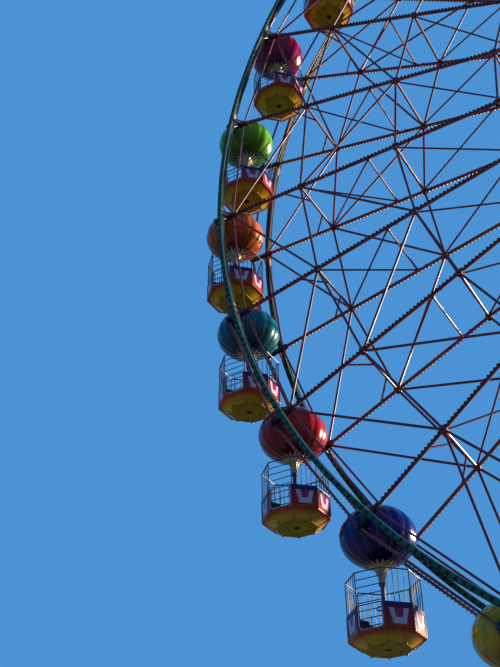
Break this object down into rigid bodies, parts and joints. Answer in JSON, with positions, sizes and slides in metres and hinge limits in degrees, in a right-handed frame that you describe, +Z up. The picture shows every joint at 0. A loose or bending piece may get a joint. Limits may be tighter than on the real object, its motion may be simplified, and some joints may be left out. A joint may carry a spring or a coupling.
{
  "type": "ferris wheel",
  "caption": "Large fairground wheel: hanging balloon-roofed cabins between two braced planes of spokes on a pair of A-frames.",
  "frame": {"origin": "on the ground, under the centre of the hub", "axes": "+Z up, the wheel turns about Y, the cabin doors face -Y"},
  "size_m": [34.6358, 9.84, 38.666],
  "materials": {
    "green_paint": "gloss paint on steel",
    "red_paint": "weathered gloss paint on steel tube",
    "navy_paint": "dark paint on plate",
    "hub_steel": "machined steel",
    "white_paint": "gloss paint on steel",
    "base_paint": "grey paint on steel",
    "car_yellow": "gloss paint on moulded shell",
    "car_magenta": "gloss paint on moulded shell",
    "car_green": "gloss paint on moulded shell",
    "car_orange": "gloss paint on moulded shell",
    "car_teal": "gloss paint on moulded shell",
    "car_red": "gloss paint on moulded shell",
    "car_blue": "gloss paint on moulded shell"
  },
  "bodies": {
    "supports": {"front_bearing_head": "white_paint", "front_tie_beam": "white_paint", "front_left_leg": "white_paint", "front_right_leg": "white_paint", "front_base_beam": "base_paint", "rear_bearing_head": "white_paint", "rear_tie_beam": "white_paint", "rear_left_leg": "white_paint", "rear_right_leg": "white_paint", "rear_base_beam": "base_paint", "left_base_beam": "base_paint", "right_base_beam": "base_paint"},
    "wheel": {"front_rim": "green_paint", "rear_rim": "green_paint", "front_spokes": "red_paint", "rear_spokes": "red_paint", "front_bracket_ring": "navy_paint", "rear_bracket_ring": "navy_paint", "front_node_ring": "red_paint", "rear_node_ring": "red_paint", "front_outer_braces": "red_paint", "front_middle_braces": "red_paint", "rear_outer_braces": "red_paint", "rear_middle_braces": "red_paint", "outer_tie_drum": "red_paint", "inner_tie_drum": "red_paint", "hub_axle": "hub_steel"},
    "car_01": {"car_01": "car_orange"},
    "car_02": {"car_02": "car_teal"},
    "car_03": {"car_03": "car_red"},
    "car_04": {"car_04": "car_blue"},
    "car_05": {"car_05": "car_yellow"},
    "car_06": {"car_06": "car_magenta"},
    "car_07": {"car_07": "car_green"},
    "car_08": {"car_08": "car_orange"},
    "car_09": {"car_09": "car_teal"},
    "car_10": {"car_10": "car_red"},
    "car_11": {"car_11": "car_blue"},
    "car_12": {"car_12": "car_yellow"},
    "car_13": {"car_13": "car_magenta"},
    "car_14": {"car_14": "car_green"},
    "car_15": {"car_15": "car_orange"},
    "car_16": {"car_16": "car_teal"},
    "car_17": {"car_17": "car_red"},
    "car_18": {"car_18": "car_blue"},
    "car_19": {"car_19": "car_yellow"},
    "car_20": {"car_20": "car_magenta"},
    "car_21": {"car_21": "car_green"},
    "car_22": {"car_22": "car_orange"},
    "car_23": {"car_23": "car_teal"},
    "car_24": {"car_24": "car_red"},
    "car_25": {"car_25": "car_blue"},
    "car_26": {"car_26": "car_yellow"},
    "car_27": {"car_27": "car_magenta"},
    "car_28": {"car_28": "car_green"}
  },
  "joints": [
    {"name": "wheel_spin", "type": "hinge", "parent": "supports", "child": "wheel", "pos_m": [0, 0, 21.3], "axis": [0, 1, 0], "continuous": true},
    {"name": "car_01_swing", "type": "hinge", "parent": "wheel", "child": "car_01", "pos_m": [0, 0, 37.84], "axis": [0, 1, 0], "continuous": true},
    {"name": "car_02_swing", "type": "hinge", "parent": "wheel", "child": "car_02", "pos_m": [-3.6805, 0, 37.42531], "axis": [0, 1, 0], "continuous": true},
    {"name": "car_03_swing", "type": "hinge", "parent": "wheel", "child": "car_03", "pos_m": [-7.17644, 0, 36.20203], "axis": [0, 1, 0], "continuous": true},
    {"name": "car_04_swing", "type": "hinge", "parent": "wheel", "child": "car_04", "pos_m": [-10.31252, 0, 34.23149], "axis": [0, 1, 0], "continuous": true},
    {"name": "car_05_swing", "type": "hinge", "parent": "wheel", "child": "car_05", "pos_m": [-12.93149, 0, 31.61252], "axis": [0, 1, 0], "continuous": true},
    {"name": "car_06_swing", "type": "hinge", "parent": "wheel", "child": "car_06", "pos_m": [-14.90203, 0, 28.47644], "axis": [0, 1, 0], "continuous": true},
    {"name": "car_07_swing", "type": "hinge", "parent": "wheel", "child": "car_07", "pos_m": [-16.12531, 0, 24.9805], "axis": [0, 1, 0], "continuous": true},
    {"name": "car_08_swing", "type": "hinge", "parent": "wheel", "child": "car_08", "pos_m": [-16.54, 0, 21.3], "axis": [0, 1, 0], "continuous": true},
    {"name": "car_09_swing", "type": "hinge", "parent": "wheel", "child": "car_09", "pos_m": [-16.12531, 0, 17.6195], "axis": [0, 1, 0], "continuous": true},
    {"name": "car_10_swing", "type": "hinge", "parent": "wheel", "child": "car_10", "pos_m": [-14.90203, 0, 14.12356], "axis": [0, 1, 0], "continuous": true},
    {"name": "car_11_swing", "type": "hinge", "parent": "wheel", "child": "car_11", "pos_m": [-12.93149, 0, 10.98748], "axis": [0, 1, 0], "continuous": true},
    {"name": "car_12_swing", "type": "hinge", "parent": "wheel", "child": "car_12", "pos_m": [-10.31252, 0, 8.36851], "axis": [0, 1, 0], "continuous": true},
    {"name": "car_13_swing", "type": "hinge", "parent": "wheel", "child": "car_13", "pos_m": [-7.17644, 0, 6.39797], "axis": [0, 1, 0], "continuous": true},
    {"name": "car_14_swing", "type": "hinge", "parent": "wheel", "child": "car_14", "pos_m": [-3.6805, 0, 5.17469], "axis": [0, 1, 0], "continuous": true},
    {"name": "car_15_swing", "type": "hinge", "parent": "wheel", "child": "car_15", "pos_m": [0, 0, 4.76], "axis": [0, 1, 0], "continuous": true},
    {"name": "car_16_swing", "type": "hinge", "parent": "wheel", "child": "car_16", "pos_m": [3.6805, 0, 5.17469], "axis": [0, 1, 0], "continuous": true},
    {"name": "car_17_swing", "type": "hinge", "parent": "wheel", "child": "car_17", "pos_m": [7.17644, 0, 6.39797], "axis": [0, 1, 0], "continuous": true},
    {"name": "car_18_swing", "type": "hinge", "parent": "wheel", "child": "car_18", "pos_m": [10.31252, 0, 8.36851], "axis": [0, 1, 0], "continuous": true},
    {"name": "car_19_swing", "type": "hinge", "parent": "wheel", "child": "car_19", "pos_m": [12.93149, 0, 10.98748], "axis": [0, 1, 0], "continuous": true},
    {"name": "car_20_swing", "type": "hinge", "parent": "wheel", "child": "car_20", "pos_m": [14.90203, 0, 14.12356], "axis": [0, 1, 0], "continuous": true},
    {"name": "car_21_swing", "type": "hinge", "parent": "wheel", "child": "car_21", "pos_m": [16.12531, 0, 17.6195], "axis": [0, 1, 0], "continuous": true},
    {"name": "car_22_swing", "type": "hinge", "parent": "wheel", "child": "car_22", "pos_m": [16.54, 0, 21.3], "axis": [0, 1, 0], "continuous": true},
    {"name": "car_23_swing", "type": "hinge", "parent": "wheel", "child": "car_23", "pos_m": [16.12531, 0, 24.9805], "axis": [0, 1, 0], "continuous": true},
    {"name": "car_24_swing", "type": "hinge", "parent": "wheel", "child": "car_24", "pos_m": [14.90203, 0, 28.47644], "axis": [0, 1, 0], "continuous": true},
    {"name": "car_25_swing", "type": "hinge", "parent": "wheel", "child": "car_25", "pos_m": [12.93149, 0, 31.61252], "axis": [0, 1, 0], "continuous": true},
    {"name": "car_26_swing", "type": "hinge", "parent": "wheel", "child": "car_26", "pos_m": [10.31252, 0, 34.23149], "axis": [0, 1, 0], "continuous": true},
    {"name": "car_27_swing", "type": "hinge", "parent": "wheel", "child": "car_27", "pos_m": [7.17644, 0, 36.20203], "axis": [0, 1, 0], "continuous": true},
    {"name": "car_28_swing", "type": "hinge", "parent": "wheel", "child": "car_28", "pos_m": [3.6805, 0, 37.42531], "axis": [0, 1, 0], "continuous": true}
  ],
  "couplings": [
    {"joint": "car_01_swing", "follows": "wheel_spin", "ratio": -1},
    {"joint": "car_02_swing", "follows": "wheel_spin", "ratio": -1},
    {"joint": "car_03_swing", "follows": "wheel_spin", "ratio": -1},
    {"joint": "car_04_swing", "follows": "wheel_spin", "ratio": -1},
    {"joint": "car_05_swing", "follows": "wheel_spin", "ratio": -1},
    {"joint": "car_06_swing", "follows": "wheel_spin", "ratio": -1},
    {"joint": "car_07_swing", "follows": "wheel_spin", "ratio": -1},
    {"joint": "car_08_swing", "follows": "wheel_spin", "ratio": -1},
    {"joint": "car_09_swing", "follows": "wheel_spin", "ratio": -1},
    {"joint": "car_10_swing", "follows": "wheel_spin", "ratio": -1},
    {"joint": "car_11_swing", "follows": "wheel_spin", "ratio": -1},
    {"joint": "car_12_swing", "follows": "wheel_spin", "ratio": -1},
    {"joint": "car_13_swing", "follows": "wheel_spin", "ratio": -1},
    {"joint": "car_14_swing", "follows": "wheel_spin", "ratio": -1},
    {"joint": "car_15_swing", "follows": "wheel_spin", "ratio": -1},
    {"joint": "car_16_swing", "follows": "wheel_spin", "ratio": -1},
    {"joint": "car_17_swing", "follows": "wheel_spin", "ratio": -1},
    {"joint": "car_18_swing", "follows": "wheel_spin", "ratio": -1},
    {"joint": "car_19_swing", "follows": "wheel_spin", "ratio": -1},
    {"joint": "car_20_swing", "follows": "wheel_spin", "ratio": -1},
    {"joint": "car_21_swing", "follows": "wheel_spin", "ratio": -1},
    {"joint": "car_22_swing", "follows": "wheel_spin", "ratio": -1},
    {"joint": "car_23_swing", "follows": "wheel_spin", "ratio": -1},
    {"joint": "car_24_swing", "follows": "wheel_spin", "ratio": -1},
    {"joint": "car_25_swing", "follows": "wheel_spin", "ratio": -1},
    {"joint": "car_26_swing", "follows": "wheel_spin", "ratio": -1},
    {"joint": "car_27_swing", "follows": "wheel_spin", "ratio": -1},
    {"joint": "car_28_swing", "follows": "wheel_spin", "ratio": -1}
  ]
}
